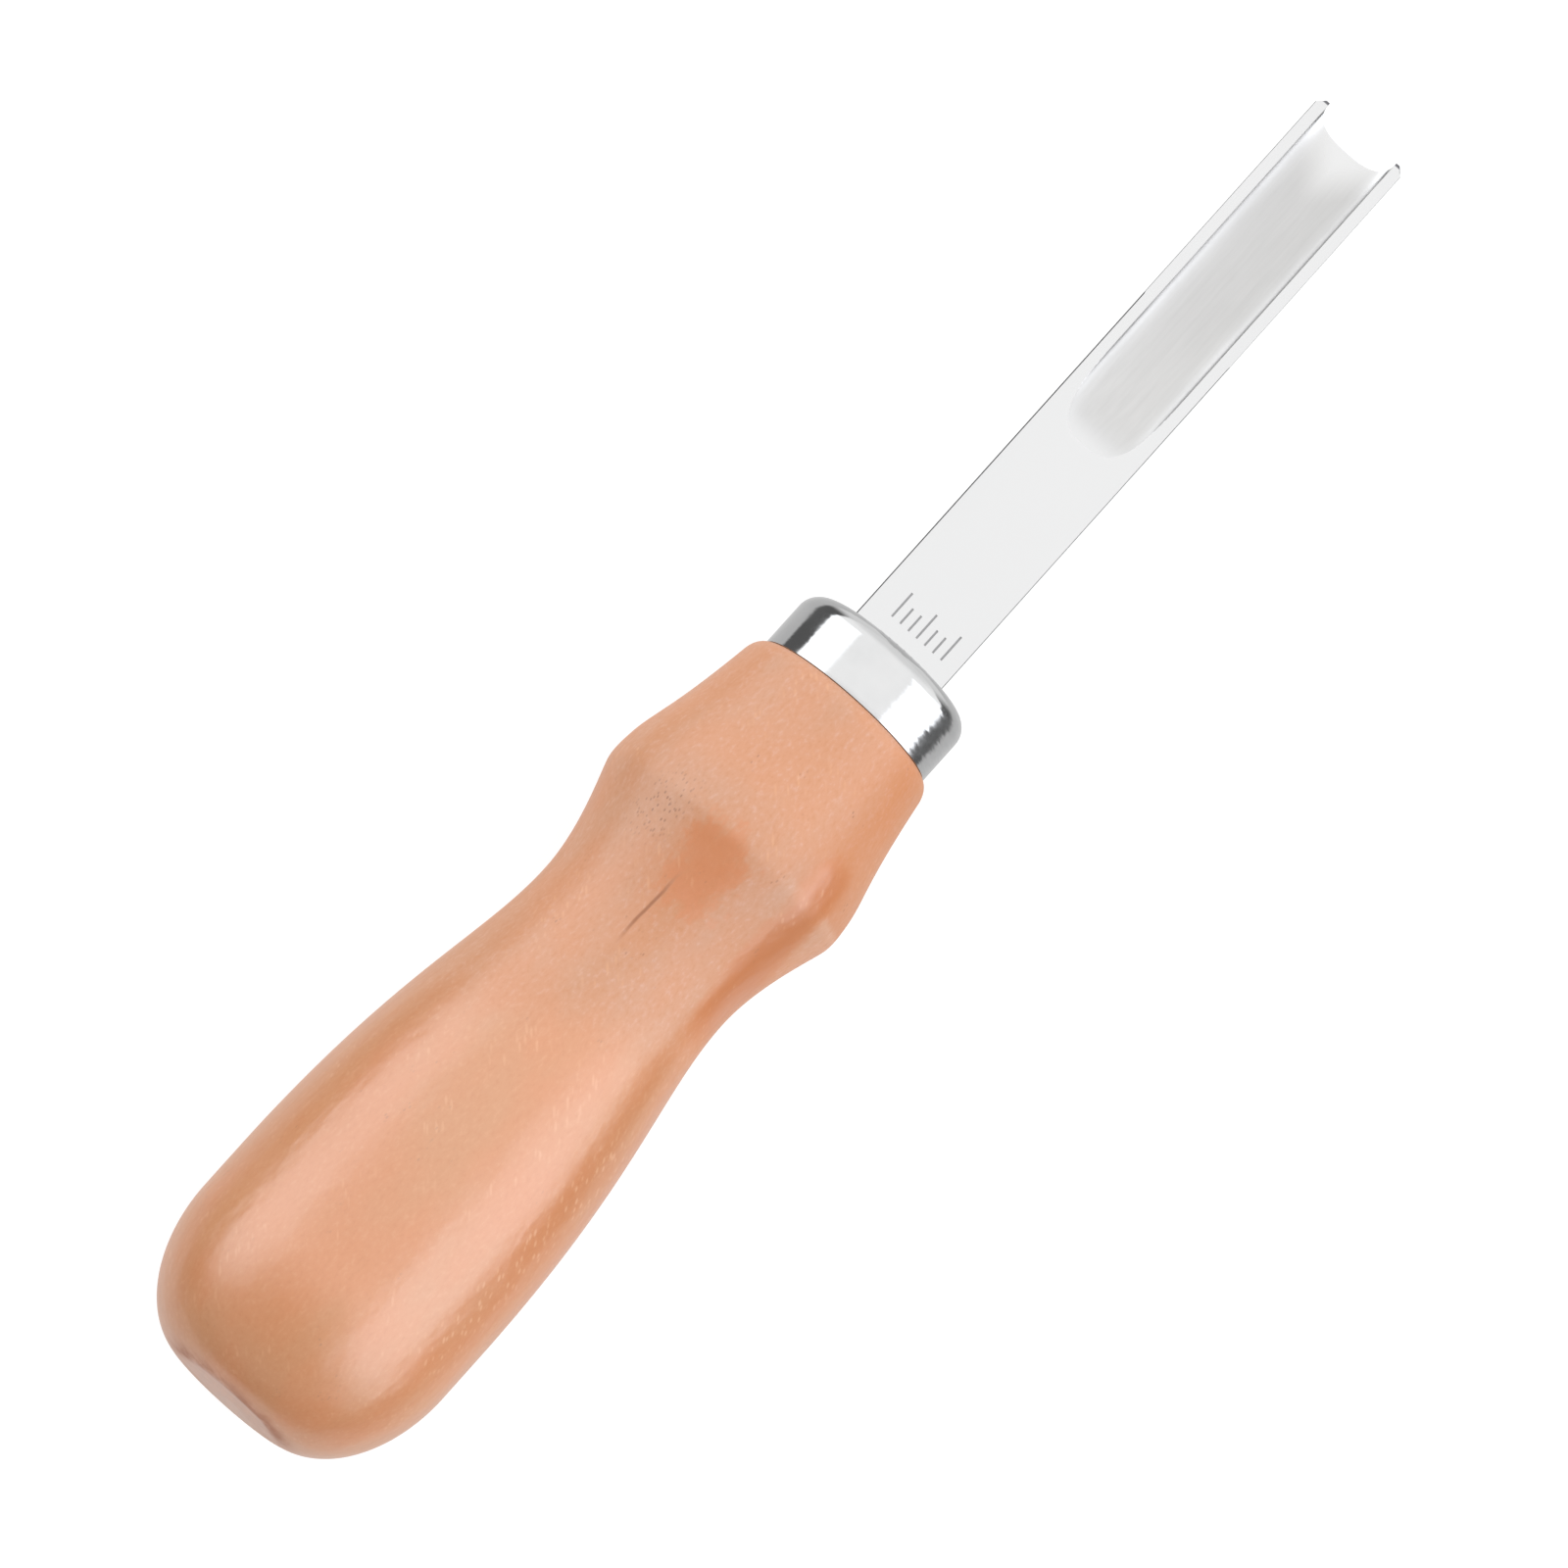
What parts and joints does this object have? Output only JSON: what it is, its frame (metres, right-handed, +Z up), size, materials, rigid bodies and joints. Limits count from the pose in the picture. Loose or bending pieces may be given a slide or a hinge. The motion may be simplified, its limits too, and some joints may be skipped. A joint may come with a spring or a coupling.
{
  "type": "edge beveler",
  "caption": "Leatherworking edge beveler: turned wooden palm handle, chromed ferrule and a flat steel blade with a ground channel, side rails and a single-bevel cutting edge.",
  "frame": {"origin": "centre of the handle's flat butt face", "axes": "+X along the tool from the butt to the cutting edge, +Z out of the side that the channel opens to, +Y to the left when looking along +X with +Z up"},
  "size_m": [0.1526, 0.0282, 0.0282],
  "materials": {
    "lacquered_wood": "clear satin-gloss lacquer over light orange hardwood",
    "chrome_plate": "bright plated, lightly scuffed",
    "ground_steel": "polished flats, satin ground channel",
    "cured_adhesive": "translucent amber, cured"
  },
  "bodies": {
    "root": {"handle": "lacquered_wood", "ferrule": "chrome_plate", "blade": "ground_steel", "tang_adhesive": "cured_adhesive"}
  },
  "joints": []
}
